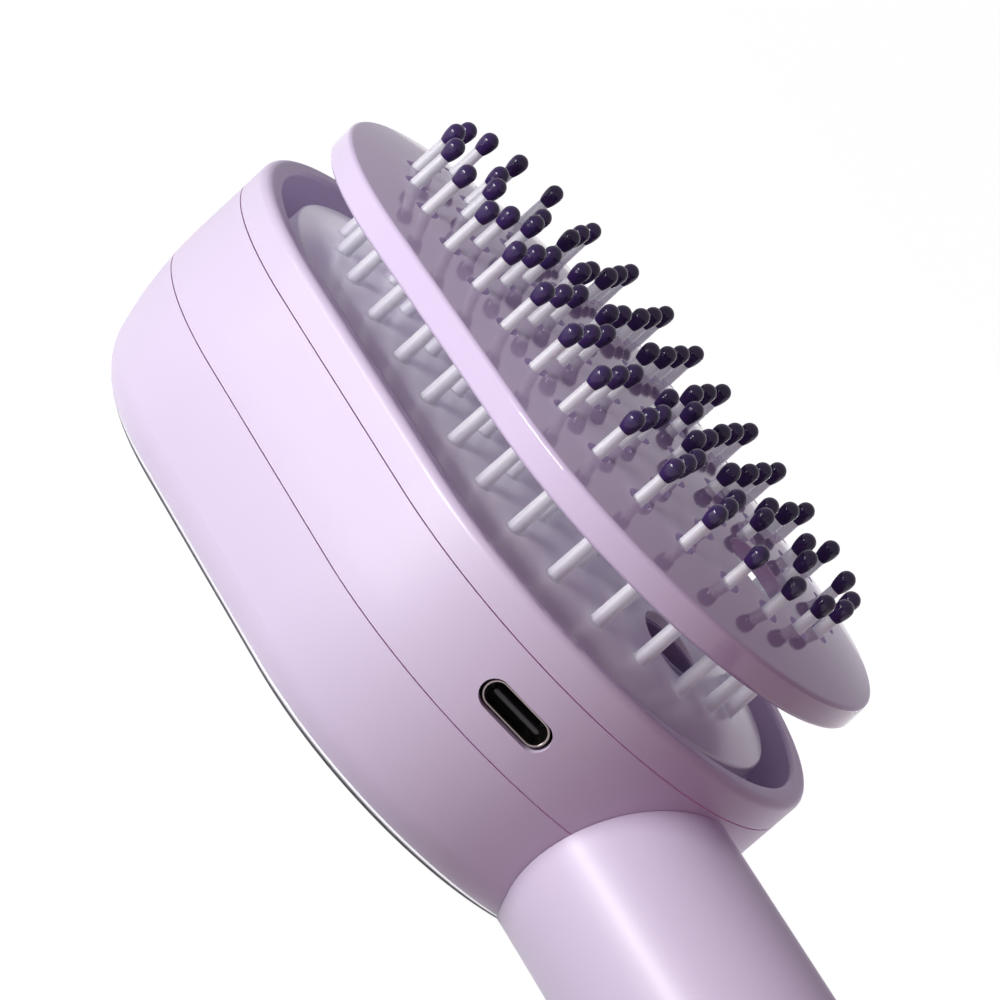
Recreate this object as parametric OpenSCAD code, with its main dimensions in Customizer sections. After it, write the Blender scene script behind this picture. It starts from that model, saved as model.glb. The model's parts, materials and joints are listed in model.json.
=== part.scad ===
// Red light massage comb: an oval bristle head on a round handle. A domed
// cleaning plate slides along the bristles and is drawn raised, as when hair
// is being pushed off. Lengths are in millimetres. +X runs from the head
// towards the handle, +Z along the bristles, and z = 0 is the flat back.

/* [Head outline] */
// Half length of the straight sides of the head
side_half = 15; // [10:0.5:24]
// Radius of the head's round ends at the rim's top edge
end_r = 34; // [33:0.5:38]
// Height of the rim above the flat back
head_h = 31; // [30:0.5:34]
// How far the wall stands out past the rim's top edge
wall_bulge = 0.7; // [0.5:0.1:1.2]
// Height at which the curved side turns straight
side_h = 19.5; // [18:0.5:21]
// How far the flat back is drawn in from the wall
back_inset = 9.3; // [8.5:0.1:10]
// Size of the lower corner as a share of that draw-in
corner_share = 0.82; // [0.75:0.01:0.86]
// Thickness of the back shell's wall and floor
wall = 2; // [1.6:0.1:2.2]
// Thickness of the middle shell's wall
mid_wall = 1.6; // [1.4:0.1:1.8]

/* [Seams and trim] */
// Drop of the lower seam below the rim
low_seam_drop = 15.4; // [14:0.1:16.4]
// Drop of the upper seam below the rim
high_seam_drop = 4.1; // [3.5:0.1:5]
// Width of the dark line left at each seam
seam_gap = 0.15; // [0.1:0.01:0.25]
// Height of the bright trim ring round the back
trim_h = 1.15; // [0.9:0.05:1.3]
// Width of the trim ring's underside
trim_w = 2.2; // [1.6:0.1:2.6]
// Thickness of the back panel
panel_t = 1; // [0.7:0.05:1]

/* [Rim and trench] */
// Width of the rim between its top edge and the trench
rim_w = 2; // [1.8:0.1:2.3]
// Radius of the rim's outer rounding
rim_round = 1.1; // [0.6:0.1:1.4]
// Radius of the rim's inner rounding
lip_round = 0.5; // [0.3:0.1:0.7]
// Depth of the trench below the rim
trench_depth = 6.4; // [6:0.1:6.8]
// Thickness of the trench floor and of the skirt that carries it
floor_t = 1.2; // [1:0.1:1.2]
// Width of the trench floor, which carries the bristle base
floor_w = 15; // [14.5:0.5:17]

/* [Bristle base] */
// Gap from the rim's top edge to the bristle base
base_inset = 5.6; // [5.5:0.1:6]
// Drop of the base's edge below the rim
base_drop = 1.2; // [0.8:0.1:1.4]
// Rise of the base's crown above its edge
base_crown = 4.2; // [3.9:0.1:4.4]
// Thickness of the base
base_t = 1.8; // [1.5:0.1:2]
// Thickness of the sealing ring under the base
seal_t = 0.4; // [0.3:0.1:0.6]

/* [Bristles] */
// Radii of the outer, second and third rings, as shares of the base's
ring_share = [0.816, 0.574, 0.351];
// Number of places on the outer, second and third rings
ring_n = [30, 20, 18];
// Gap left open at both ends of the second ring
ring_gap = 19.4; // [17:0.2:21]
// Places of the centre bristles, which leave the middle free
centre_places = [
    [-17.6, 2.2], [-10.2, 2.6], [-4.4, 3.6], [4.9, 4.8], [10.5, 2.6], [16.1, 2.3],
    [-15, -2.2], [-7.6, -2.7], [6.3, -2.3], [13.3, -2.9]
];
// Half length of the rings' straight stretches
ring_half = 13.9; // [10:0.1:14.5]
// Shift of the bristle field away from the handle
field_shift = 0.45; // [0:0.05:0.6]
// Radius of a bristle's shaft at the base
pin_r = 0.8; // [0.75:0.05:0.9]
// Radius of a bristle's shaft under its tip
pin_top_r = 0.69; // [0.6:0.01:0.75]
// Height of the tips' middles above the rim
tip_h = 17.6; // [16.5:0.1:19]
// Radius of a bristle's tip at its widest
tip_r = 1.08; // [1:0.02:1.1]
// Radius of the long curve from there to the shaft
tip_side_r = 4.5; // [3.5:0.5:8]
// Radius of a bristle's foot under the base
foot_r = 1.5; // [1.3:0.1:1.7]
// Thickness of a bristle's foot
foot_t = 0.8; // [0.6:0.1:1]

/* [Cleaning plate] */
// Gap from the rim's top edge to the plate's edge
plate_inset = 2.6; // [2.6:0.05:2.8]
// Height of the plate's edge above the rim, raised as in the photograph
plate_rise = 11.2; // [11:0.1:12]
// Rise of the plate's crown above its edge
plate_crown = 3.7; // [3.6:0.1:4]
// Thickness of the drilled web
plate_web = 1.8; // [1.4:0.1:1.8]
// Height of the band round the plate
band_h = 3.5; // [3:0.1:3.8]
// Width of that band
band_w = 2.2; // [1.8:0.1:2.2]
// Radius of the plate's edge roundings
plate_round = 0.6; // [0.3:0.1:0.8]
// Slope of the raised plate across the head, in degrees
plate_roll = 1.7; // [0:0.1:1.8]
// Slope of the raised plate along the head, in degrees
plate_tilt = 1.1; // [0:0.1:1.3]
// Radius of the holes that the bristles pass through
hole_r = 1.43; // [1.4:0.01:1.5]
// Radius of the outlet hole in plate and base
outlet_r = 4.4; // [4:0.1:4.6]

/* [Handle] */
// Radius of the handle
handle_r = 13; // [12.6:0.1:13.1]
// Height of the handle's underside above the back
handle_lift = 0.2; // [0:0.05:0.4]
// Length of the cell in the handle
cell_l = 65; // [50:1:70]
// Thickness of the foam rings round the cell
cushion_t = 2; // [1.5:0.1:3]
// Thickness of the handle's wall
handle_wall = 1.8; // [1.6:0.1:1.9]
// Length of the end cap
cap_l = 7; // [6.5:0.5:9]
// Radius of the end cap's rounding
cap_round = 5; // [3:0.5:6]
// Thickness of the neck tube's wall
neck_wall = 1.8; // [1.5:0.1:2.5]

/* [Power button] */
// Distance from the head's middle to the button
button_x = 84; // [80:1:85]
// Radius of the button's cap
button_r = 5; // [4.5:0.1:5.2]
// Radius of the ring round the button
bezel_r = 7; // [6.8:0.1:7.2]
// How far the button stands above the handle's skin
button_proud = 0.5; // [0.3:0.1:0.7]
// Depth that the button can be pressed
button_travel = 0.5; // [0.4:0.05:0.6]

/* [Charging port] */
// Angle of the port from the handle's axis, towards the near side
port_angle = 45.6; // [42:0.2:50]
// Drop of the port's middle below the rim
port_drop = 9.9; // [9.8:0.05:10]
// Length of the opening in the shell
port_l = 9.7; // [9.5:0.1:10]
// Height of the opening in the shell
port_h = 3.6; // [3.5:0.05:3.7]

/* [Fits] */
// Gap between pieces that are fixed together
fixed_fit = 0.05; // [0.03:0.01:0.08]
// Gap round the button and the motor's shaft
run_fit = 0.08; // [0.05:0.01:0.1]

/* [Hidden] */
$fn = 96;
// standard sizes of bought-in pieces
usb_l = 8.94;
usb_h = 3.26;
usb_deep = 7.3;
usb_wall = 0.3;
usb_recess = 0.9;
usb_back_t = 1.6;
tongue_l = 6.7;
tongue_t = 0.7;
tongue_back = 0.7;
motor_r = 6;
motor_l = 20;
motor_shaft_r = 0.75;
board_t = 1.2;
chip_l = 7;
chip_t = 1;
lamp_r = 1.5;
lamp_t = 0.5;
lens_r = 1.1;
lens_t = 0.6;
lamp_share = 0.67;
switch_l = 6;
switch_stem_r = 1.6;
switch_stem_l = 0.9;
switch_h = 5;
button_board_l = 16;
button_board_w = 14;
// derived heights
high_seam = head_h - high_seam_drop;
low_seam = head_h - low_seam_drop;
trench_z = head_h - trench_depth;
base_edge_z = head_h - base_drop;
base_top_z = base_edge_z + base_crown;
tip_z = head_h + tip_h;
plate_z = head_h + plate_rise;
floor_z = trim_h + wall;
led_board_z = trench_z + board_t;
port_z = head_h - port_drop;
main_board_z = port_z - usb_h / 2 - fixed_fit;
handle_z = handle_r + handle_lift;
// derived radii
corner_r = back_inset * corner_share;
side_r = (back_inset ^ 2 + side_h ^ 2 - 2 * side_h * corner_r)
    / (2 * (back_inset - corner_r));
wall_r = end_r + wall_bulge;
back_r = wall_r - back_inset;
panel_r = back_r + sqrt(corner_r ^ 2 - (corner_r - trim_h) ^ 2) - trim_w;
section_r = 15;
base_r = end_r - base_inset;
plate_r = end_r - plate_inset;
base_ball_r = (base_r ^ 2 + base_crown ^ 2) / (2 * base_crown);
plate_ball_r = (plate_r ^ 2 + plate_crown ^ 2) / (2 * plate_crown);
ring_r = [for (share = ring_share) share * base_r];
outlet_x = side_half + base_r / 2 + field_shift;
sleeve_t = 0.6;
sleeve_gap = 0.2;
sleeve_drop = 0.4;
tip_neck_r = pin_top_r + 0.05;
tip_l = tip_r + sqrt(tip_side_r ^ 2 - (tip_side_r - tip_r + tip_neck_r) ^ 2);
base_round = 0.5;
base_lean = 80;
drill_l = 20;
// the lip that centres the middle shell on the back shell
lip_t = 1.1;
lip_gap = 0.2;
lip_down = 3;
lip_up = 2.5;
// the screws that hold the head together
post_r = 2.8;
post_ring_r = base_r - 7.9;
post_angle = 50;
pad_h = 1.9;
pad_top = floor_z + pad_h;
screw_r = 0.95;
pilot_r = 1;
screw_play = 0.2;
screw_head_r = 2.3;
screw_head_t = 1.5;
screw_l = 10;
small_head_r = 1.85;
small_head_t = 1.2;
board_screw_l = 6;
strap_screw_l = 4;
// the motor's place
motor_z = 11;
motor_x = 10.4 - side_half - back_r;
strap_w = 5;
strap_t = 1;
strap_foot = 10;
strap_end = 2.4;
strap_drop = 2;
weight_l = 5;
weight_gap = 1.5;
// the main board's place
board_edge = 2;
board_post_r = 2.5;
board_post_back = 7;
board_post_side = 11.4;
board_post_end = 9.4;
board_neck_gap = 6.4;
board_neck_side = 4;
board_posts = [
    [side_half - board_post_back, base_r - board_post_side],
    [side_half - board_post_back, board_post_side - base_r],
    [side_half + base_r - board_post_end, 0]
];
// the neck tube and the handle
handle_in_r = handle_r - handle_wall;
neck_flange = 1.3;
neck_flange_t = 2;
neck_clear = 0.3;
// as wide as the handle's inside and the hollow of the head both leave room for
neck_step = 2.6;
neck_r = min(
    handle_in_r - neck_step,
    trench_z - floor_t - neck_clear - neck_flange - handle_z
);
neck_skin = 2.5;
neck_plug_l = 12;
cell_r = handle_in_r - fixed_fit - cushion_t;
cell_gap = 5;
cell_start = button_x + button_board_l / 2 + cell_gap;
cushion_l = 6;
cushion_in = 3;
cap_plug_l = 5;
cap_plug_gap = 1;
handle_end = cell_start + cell_l + cap_plug_gap + cap_plug_l + cap_l;
// the button
flange_w = 1;
flange_t = 0.8;
flange_drop = 0.3;
button_play = 0.05;
bezel_low = handle_z + sqrt(handle_in_r ^ 2 - bezel_r ^ 2);
button_floor = bezel_low - flange_drop - flange_t;
button_board_top = button_floor - switch_h;

// shapes used by several pieces

// a stadium, the head's outline moved in or out
module stadium(r, half = side_half) {
    translate([half, 0]) circle(r = r);
    translate([-half, 0]) circle(r = r);
    square([2 * half, 2 * r], center = true);
}

// sweeps a section round the head; the section's x is its distance from the
// spine, so the round ends are revolves and the sides are extrusions
module sweep() {
    translate([side_half, 0, 0]) rotate([0, 0, -90]) rotate_extrude(angle = 180) children();
    translate([-side_half, 0, 0]) rotate([0, 0, 90]) rotate_extrude(angle = 180) children();
    translate([-side_half, 0, 0]) rotate([90, 0, 90]) linear_extrude(2 * side_half) children();
    translate([side_half, 0, 0]) rotate([90, 0, -90]) linear_extrude(2 * side_half) children();
}

// what lies outside an arc, within the angles that a rounding covers
module corner_cut(centre, r, from, to) {
    mid = (from + to) / 2;
    difference() {
        polygon([
            centre,
            centre + 2 * r * [cos(from), sin(from)],
            centre + 3 * r * [cos(mid), sin(mid)],
            centre + 2 * r * [cos(to), sin(to)]
        ]);
        translate(centre) circle(r = r);
    }
}

// the head's section from the back to the rim, moved in by an inset
module body_section(inset) {
    side_c = [wall_r - side_r, side_h];
    corner_c = [back_r, corner_r];
    lean = atan2(side_h - corner_r, back_r - side_c[0]);
    difference() {
        intersection() {
            translate([section_r, inset]) square([wall_r, head_h]);
            union() {
                translate(side_c) circle(r = side_r - inset, $fn = 240);
                translate([0, side_h]) square([wall_r - inset, head_h]);
            }
        }
        // moved out by a hair, so that the two arcs cross where they join
        corner_cut(corner_c + 0.005 * [cos(lean), -sin(lean)], corner_r - inset, -90, -lean);
    }
}

// the head's wall between two heights, with any floor below the hollow
module wall_band(low, high, thick) {
    intersection() {
        difference() {
            body_section(0);
            intersection() {
                body_section(thick);
                translate([0, floor_z]) square([2 * wall_r, head_h]);
            }
        }
        translate([section_r, low]) square([wall_r, high - low]);
    }
}

// the area under a crowned top, down to a given depth below its edge
module crown_section(r, crown, ball_r, inset, side, depth) {
    intersection() {
        translate([0, crown - ball_r]) circle(r = ball_r - inset, $fn = 360);
        translate([0, -depth]) square([r - side, depth + crown]);
    }
}

// the centre of a rounding between a crowned top and its side
function crown_corner(r, crown, ball_r, round_r) = [
    r - round_r,
    crown - ball_r + sqrt((ball_r - round_r) ^ 2 - (r - round_r) ^ 2)
];

// places of the bristles

// distance round a ring
function ring_length(r) = 4 * ring_half + 2 * PI * r;

// the point at a distance s round a ring, counted from the handle's end
function ring_point(r, s) =
    let (
        quarter = PI / 2 * r,
        far = quarter + 2 * ring_half,
        turn = 180 / (PI * r)
    )
    s < quarter ? [ring_half + r * cos(s * turn), r * sin(s * turn)]
    : s < far ? [ring_half - (s - quarter), r]
    : s < far + 2 * quarter
        ? [r * cos(90 + (s - far) * turn) - ring_half, r * sin(90 + (s - far) * turn)]
    : s < 2 * far + quarter ? [s - far - 2 * quarter - ring_half, -r]
    : [ring_half + r * cos((s - ring_length(r)) * turn), r * sin((s - ring_length(r)) * turn)];

// all places on a ring, or those in the centre; the second ring stays open at
// both ends
function ring_places(i) =
    i == 1 ? [
        for (side = [0, 1], k = [0 : ring_n[1] / 2 - 1])
            let (half = ring_length(ring_r[1]) / 2)
            ring_point(ring_r[1],
                side * half + ring_gap / 2 + k * (half - ring_gap) / (ring_n[1] / 2 - 1))
                - [field_shift, 0]
    ]
    : i == 3 ? centre_places
    : [
        for (k = [0 : ring_n[i] - 1])
            ring_point(ring_r[i], (k + 0.5) * ring_length(ring_r[i]) / ring_n[i])
                - [field_shift, 0]
    ];

// distance of a place from the head's spine
function from_spine(p) = norm([max(abs(p[0]) - side_half, 0), p[1]]);

// height of the base's top or underside over a place
function base_height(p, depth) =
    base_top_z - base_ball_r + sqrt((base_ball_r - depth) ^ 2 - from_spine(p) ^ 2);

// shells of the head

module back_panel() {
    color("#efe9f6") {
        linear_extrude(panel_t) stadium(section_r + 1);
        sweep() intersection() {
            body_section(0);
            translate([section_r, 0]) square([panel_r - fixed_fit - section_r, panel_t]);
        }
    }
}

module trim_ring() {
    color("#d9dbe0")
    sweep() intersection() {
        body_section(0);
        translate([panel_r, 0]) square([wall_r, trim_h - fixed_fit]);
    }
}

// the places of the four screws through the floor
module at_posts() {
    for (x = [-1, 1], y = [-1, 1])
        translate([x * (side_half + post_ring_r * cos(post_angle)), y * post_ring_r * sin(post_angle), 0])
            children();
}

// a cylinder along the handle's axis
module along_handle(from, to, r) {
    translate([from, 0, handle_z]) rotate([0, 90, 0]) cylinder(h = to - from, r = r);
}

module back_shell() {
    color("#e3d7f3")
    difference() {
        union() {
            sweep() wall_band(trim_h, low_seam, wall);
            translate([0, 0, trim_h]) linear_extrude(wall) stadium(section_r + 1);
            // lip that centres the middle shell
            sweep() translate([wall_r - mid_wall - lip_gap - lip_t, low_seam - lip_down])
                square([lip_t, lip_down + lip_up]);
            at_posts() translate([0, 0, trim_h]) cylinder(h = pad_top - trim_h, r = screw_head_r + 1.5);
            for (p = board_posts)
                translate([p[0], p[1], floor_z - 0.5])
                    cylinder(h = main_board_z - board_t - fixed_fit - floor_z + 0.5, r = board_post_r);
            motor_cradle();
        }
        at_posts() {
            translate([0, 0, trim_h - 1])
                cylinder(h = screw_head_t + 1 + screw_play, r = screw_head_r + screw_play);
            cylinder(h = pad_top + 1, r = screw_r + screw_play);
        }
        for (p = board_posts)
            translate([p[0], p[1], main_board_z - board_t - board_screw_l])
                cylinder(h = board_screw_l + 1, r = pilot_r);
        along_handle(side_half + base_r - neck_flange_t, wall_r + side_half + 5, neck_r + fixed_fit);
    }
}

// two ribs with round saddles and two screw bosses for the motor
module motor_cradle() {
    for (x = [motor_x + 2, motor_x + motor_l - 4])
        translate([x, 0, 0]) difference() {
            translate([0, -motor_r - 1.5, floor_z - 0.5])
                cube([2, 2 * motor_r + 3, motor_z - floor_z - 1]);
            translate([-1, 0, motor_z]) rotate([0, 90, 0]) cylinder(h = 4, r = motor_r + fixed_fit);
        }
    for (y = [-1, 1])
        translate([motor_x + motor_l / 2, y * strap_foot, floor_z - 0.5]) difference() {
            cylinder(h = motor_z - strap_drop - floor_z + 0.5, r = strap_end);
            translate([0, 0, 2]) cylinder(h = motor_z, r = pilot_r);
        }
}

module mid_shell() {
    color("#e3d7f3")
    difference() {
        sweep() wall_band(low_seam + seam_gap, high_seam - seam_gap, mid_wall);
        along_handle(side_half + base_r - neck_flange_t, wall_r + side_half + 5, neck_r + fixed_fit);
        at_port() slot_bar(wall_r - 6, wall_r + 4, port_l, port_h);
    }
}

module front_rim() {
    inner_r = end_r - rim_w;
    low = trench_z - floor_t;
    color("#e3d7f3") {
        difference() {
            union() {
                sweep() difference() {
                    union() {
                        translate([inner_r, high_seam]) square([wall_r - inner_r, head_h - high_seam]);
                        translate([inner_r, low])
                            square([wall_r - mid_wall - fixed_fit - inner_r, head_h - low - 1]);
                        translate([section_r, low]) square([inner_r - section_r + 0.5, floor_t]);
                    }
                    corner_cut([wall_r - rim_round, head_h - rim_round], rim_round, 0, 90);
                    corner_cut([inner_r + lip_round, head_h - lip_round], lip_round, 90, 180);
                }
                at_posts() translate([0, 0, pad_top + fixed_fit]) cylinder(h = low - pad_top, r = post_r);
            }
            translate([0, 0, low - 1]) linear_extrude(floor_t + 2) stadium(inner_r - floor_w);
            at_posts() translate([0, 0, pad_top - 1]) cylinder(h = screw_l + 1, r = pilot_r);
        }
    }
}

module base_gasket() {
    color("#4a4455")
    translate([0, 0, trench_z]) linear_extrude(seal_t) difference() {
        stadium(base_r - 0.2);
        stadium(base_r - base_t + 0.1);
    }
}

// bristle base, bristles and tips

module bristle_base() {
    skirt = base_edge_z - trench_z - seal_t;
    round_c = crown_corner(base_r, base_crown, base_ball_r, base_round);
    color("#cfc9da")
    difference() {
        translate([0, 0, base_edge_z]) sweep() difference() {
            crown_section(base_r, base_crown, base_ball_r, 0, 0, skirt);
            crown_section(base_r, base_crown, base_ball_r, base_t, base_t, skirt + 1);
            corner_cut(round_c, base_round, 0, base_lean);
        }
        for (i = [0 : 3], p = ring_places(i))
            translate([p[0], p[1], trench_z])
                cylinder(h = tip_h, r = pin_r + fixed_fit, $fn = 32);
        translate([outlet_x, 0, trench_z])
            cylinder(h = drill_l, r = outlet_r + sleeve_gap + fixed_fit);
    }
}

// the shafts of one ring, each with its foot under the base
module ring_pins(i) {
    top = tip_z - tip_l / 2;
    for (p = ring_places(i)) {
        under = base_height(p, base_t) - foot_r * from_spine(p) / base_ball_r - fixed_fit;
        translate([p[0], p[1], under - foot_t]) cylinder(h = foot_t, r = foot_r, $fn = 32);
        translate([p[0], p[1], under - foot_t / 2])
            cylinder(h = top - under + foot_t / 2, r1 = pin_r, r2 = pin_top_r, $fn = 32);
    }
}

module outer_ring_pins() {
    color("#f4f2f6") ring_pins(0);
}

module second_ring_pins() {
    color("#f4f2f6") ring_pins(1);
}

module third_ring_pins() {
    color("#f4f2f6") ring_pins(2);
}

module centre_ring_pins() {
    color("#f4f2f6") ring_pins(3);
}

// the egg-shaped tips of one ring, a round end on a long curve to the shaft
module ring_tips(i) {
    widest = tip_l - tip_r;
    for (p = ring_places(i))
        translate([p[0], p[1], tip_z - tip_l / 2]) rotate_extrude() {
            intersection() {
                translate([0, widest]) circle(r = tip_r);
                translate([0, widest]) square(2 * tip_r);
            }
            intersection() {
                translate([tip_r - tip_side_r, widest]) circle(r = tip_side_r);
                square([2 * tip_r, widest]);
            }
        }
}

module outer_ring_tips() {
    color("#2f1f4d") ring_tips(0);
}

module second_ring_tips() {
    color("#2f1f4d") ring_tips(1);
}

module third_ring_tips() {
    color("#2f1f4d") ring_tips(2);
}

module centre_ring_tips() {
    color("#2f1f4d") ring_tips(3);
}

// cleaning plate

module plate_blank() {
    top_c = crown_corner(plate_r, plate_crown, plate_ball_r, plate_round);
    lean = acos((plate_r - plate_round) / (plate_ball_r - plate_round));
    sweep() difference() {
        crown_section(plate_r, plate_crown, plate_ball_r, 0, 0, band_h);
        crown_section(plate_r, plate_crown, plate_ball_r, plate_web, band_w, band_h + 1);
        corner_cut(top_c, plate_round, 0, lean);
        corner_cut([plate_r - plate_round, plate_round - band_h], plate_round, -90, 0);
    }
}

module cleaning_plate() {
    color("#c3b2d3")
    difference() {
        translate([0, 0, plate_z]) rotate([plate_roll, -plate_tilt, 0]) plate_blank();
        translate([0, 0, plate_z - 2 * band_h]) {
            for (i = [0 : 3], p = ring_places(i))
                translate([p[0], p[1], 0]) cylinder(h = drill_l, r = hole_r, $fn = 40);
            translate([outlet_x, 0, 0]) cylinder(h = drill_l, r = outlet_r);
        }
    }
}

// outlet and lights

module outlet_sleeve() {
    top = base_height([outlet_x, 0], 0) - sleeve_drop;
    color("#8e7fa6")
    translate([outlet_x, 0, led_board_z]) difference() {
        cylinder(h = top - led_board_z, r = outlet_r + sleeve_gap);
        translate([0, 0, sleeve_t]) cylinder(h = top, r = outlet_r + sleeve_gap - sleeve_t);
    }
}

module ion_needle() {
    color("#c9c9cf")
    translate([outlet_x, 0, led_board_z + sleeve_t]) {
        cylinder(h = 1, r = 1.2, $fn = 32);
        translate([0, 0, 1]) cylinder(h = 2.6, r1 = 0.45, r2 = 0.12, $fn = 32);
    }
}

module led_board() {
    color("#2e6b3c")
    translate([0, 0, trench_z]) linear_extrude(board_t) stadium(base_r - base_t - 0.4);
}

// lamps on rings between the rings of bristles
module red_leds() {
    color("#d23a2c")
    for (row = [[(ring_r[0] + ring_r[1]) / 2, 14], [lamp_share * ring_r[2], 8]])
        for (k = [0 : row[1] - 1]) {
            p = ring_point(row[0], (k + 0.5) * ring_length(row[0]) / row[1]);
            translate([p[0] - field_shift, p[1], led_board_z]) {
                cylinder(h = lamp_t, r = lamp_r, $fn = 32);
                translate([0, 0, lamp_t]) cylinder(h = lens_t, r1 = lens_r, r2 = 0.6 * lens_r, $fn = 32);
            }
        }
}

// main board and charging port

module main_board() {
    color("#2e6b3c")
    translate([0, 0, main_board_z - board_t]) linear_extrude(board_t) difference() {
        intersection() {
            stadium(wall_r - 5);
            translate([board_edge, -wall_r]) square(2 * wall_r + side_half);
        }
        translate([side_half + base_r - board_neck_gap, -neck_r - neck_flange - board_neck_side])
            square([wall_r, 2 * (neck_r + neck_flange + board_neck_side)]);
        for (x = [-1, 1], y = [-1, 1])
            translate([x * (side_half + post_ring_r * cos(post_angle)), y * post_ring_r * sin(post_angle)])
                circle(r = post_r + 2 * screw_play);
        for (p = board_posts)
            translate(p) circle(r = screw_r + screw_play);
    }
}

module controller_chip() {
    color("#26262a")
    translate([side_half - 2, -chip_l / 2, main_board_z]) cube([chip_l, chip_l, chip_t]);
}

// turns to the port: +X leaves the head, Y runs along the opening
module at_port() {
    translate([side_half, 0, port_z]) rotate([0, 0, -port_angle]) children();
}

// a bar with a stadium section, from one distance to another
module slot_bar(from, to, length, height) {
    translate([from, 0, 0]) rotate([90, 0, 90]) linear_extrude(to - from)
        stadium(height / 2, (length - height) / 2);
}

module usb_shell() {
    front = wall_r - usb_recess;
    color("#cfc6b8")
    at_port() difference() {
        slot_bar(front - usb_deep, front, usb_l, usb_h);
        slot_bar(front - usb_deep - 1, front + 1, usb_l - 2 * usb_wall, usb_h - 2 * usb_wall);
    }
}

module usb_insulator() {
    back = wall_r - usb_recess - usb_deep;
    inset = 2 * (usb_wall + fixed_fit);
    color("#1b1b1e")
    at_port() slot_bar(back, back + usb_back_t, usb_l - inset, usb_h - inset);
}

module usb_tongue() {
    back = wall_r - usb_recess - usb_deep + usb_back_t;
    color("#3a3a3e")
    at_port() translate([back, -tongue_l / 2, -tongue_t / 2])
        cube([usb_deep - usb_back_t - tongue_back, tongue_l, tongue_t]);
}

// screws

// a screw standing on its head, shaft upwards
module screw(head_r, head_t, length) {
    difference() {
        cylinder(h = head_t, r = head_r, $fn = 40);
        translate([0, 0, -0.1]) cylinder(h = head_t / 2 + 0.1, r = head_r * 0.45, $fn = 6);
    }
    translate([0, 0, head_t - 0.1]) cylinder(h = length + 0.1, r = screw_r, $fn = 40);
}

module shell_screws() {
    color("#8b8d92")
    at_posts() translate([0, 0, trim_h + 0.1]) screw(screw_head_r, screw_head_t, screw_l - 1);
}

module board_screws() {
    color("#8b8d92")
    for (p = board_posts)
        translate([p[0], p[1], main_board_z + small_head_t]) rotate([180, 0, 0])
            screw(small_head_r, small_head_t, board_screw_l);
}

module strap_screws() {
    color("#8b8d92")
    for (y = [-1, 1])
        translate([motor_x + motor_l / 2, y * strap_foot, motor_z - strap_drop + strap_t + small_head_t])
            rotate([180, 0, 0]) screw(small_head_r, small_head_t, strap_screw_l);
}

// vibration motor

module motor_can() {
    color("#b8bac0")
    translate([motor_x, 0, motor_z]) rotate([0, 90, 0]) difference() {
        cylinder(h = motor_l, r = motor_r);
        translate([0, 0, 2]) cylinder(h = motor_l, r = motor_shaft_r + run_fit);
    }
}

module motor_shaft() {
    color("#9a9ca3")
    translate([motor_x + 2.3, 0, motor_z]) rotate([0, 90, 0])
        cylinder(h = motor_l - 2.3 + weight_gap + weight_l + 0.5, r = motor_shaft_r);
}

// a half disc that shakes the head as it turns
module motor_weight() {
    color("#77797f")
    translate([motor_x + motor_l + weight_gap, 0, motor_z]) rotate([0, 90, 0]) difference() {
        union() {
            cylinder(h = weight_l, r = motor_shaft_r + 1);
            intersection() {
                cylinder(h = weight_l, r = motor_r - 0.8);
                translate([0, -motor_r, 0]) cube([motor_r, 2 * motor_r, weight_l]);
            }
        }
        translate([0, 0, -1]) cylinder(h = weight_l + 2, r = motor_shaft_r);
    }
}

module motor_strap() {
    foot_z = motor_z - strap_drop;
    color("#a9abb1")
    translate([motor_x + (motor_l - strap_w) / 2, 0, 0]) difference() {
        union() {
            translate([0, 0, motor_z]) rotate([0, 90, 0])
                cylinder(h = strap_w, r = motor_r + fixed_fit + strap_t);
            translate([0, -strap_foot - strap_end, foot_z])
                cube([strap_w, 2 * (strap_foot + strap_end), strap_t]);
        }
        translate([-1, 0, motor_z]) rotate([0, 90, 0])
            cylinder(h = strap_w + 2, r = motor_r + fixed_fit);
        translate([-1, -2 * strap_foot, foot_z - motor_l]) cube([strap_w + 2, 4 * strap_foot, motor_l]);
        for (y = [-1, 1])
            translate([strap_w / 2, y * strap_foot, foot_z - 1])
                cylinder(h = strap_t + 2, r = screw_r + screw_play);
    }
}

// handle

// a revolve about the handle's axis; its section's y runs along the handle
module handle_turned() {
    translate([0, 0, handle_z]) rotate([0, 90, 0]) rotate_extrude() children();
}

module neck_tube() {
    start = side_half + base_r - neck_flange_t;
    skin = side_half + wall_r + neck_skin;
    color("#b9b3c4")
    handle_turned() difference() {
        union() {
            translate([0, start]) square([neck_r + neck_flange, neck_flange_t]);
            translate([0, start + 1]) square([neck_r, skin - start]);
            translate([0, skin]) square([handle_in_r - fixed_fit, neck_plug_l]);
        }
        translate([0, start - 1]) square([neck_r - neck_wall, skin + neck_plug_l - start + 2]);
    }
}

module handle_shell() {
    color("#e3d7f3")
    difference() {
        along_handle(side_half + end_r - 9, handle_end - cap_l, handle_r);
        along_handle(side_half + end_r - 10, handle_end, handle_in_r);
        translate([side_half, 0, 0]) rotate([0, 0, -90]) rotate_extrude(angle = 180)
            body_section(-fixed_fit);
        translate([button_x, 0, handle_z]) cylinder(h = 2 * handle_r, r = bezel_r + fixed_fit);
    }
}

module handle_end_cap() {
    start = handle_end - cap_l + fixed_fit;
    color("#e3d7f3")
    handle_turned() difference() {
        union() {
            translate([0, start]) square([handle_r, handle_end - start]);
            translate([0, start - cap_plug_l]) square([handle_in_r - fixed_fit, cap_plug_l + 1]);
        }
        corner_cut([handle_r - cap_round, handle_end - cap_round], cap_round, 0, 90);
        translate([0, start - cap_plug_l - 1]) square([handle_in_r - handle_wall, cap_plug_l + 3]);
    }
}

module battery_cell() {
    color("#3f6fb5")
    along_handle(cell_start, cell_start + cell_l, cell_r);
}

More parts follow.
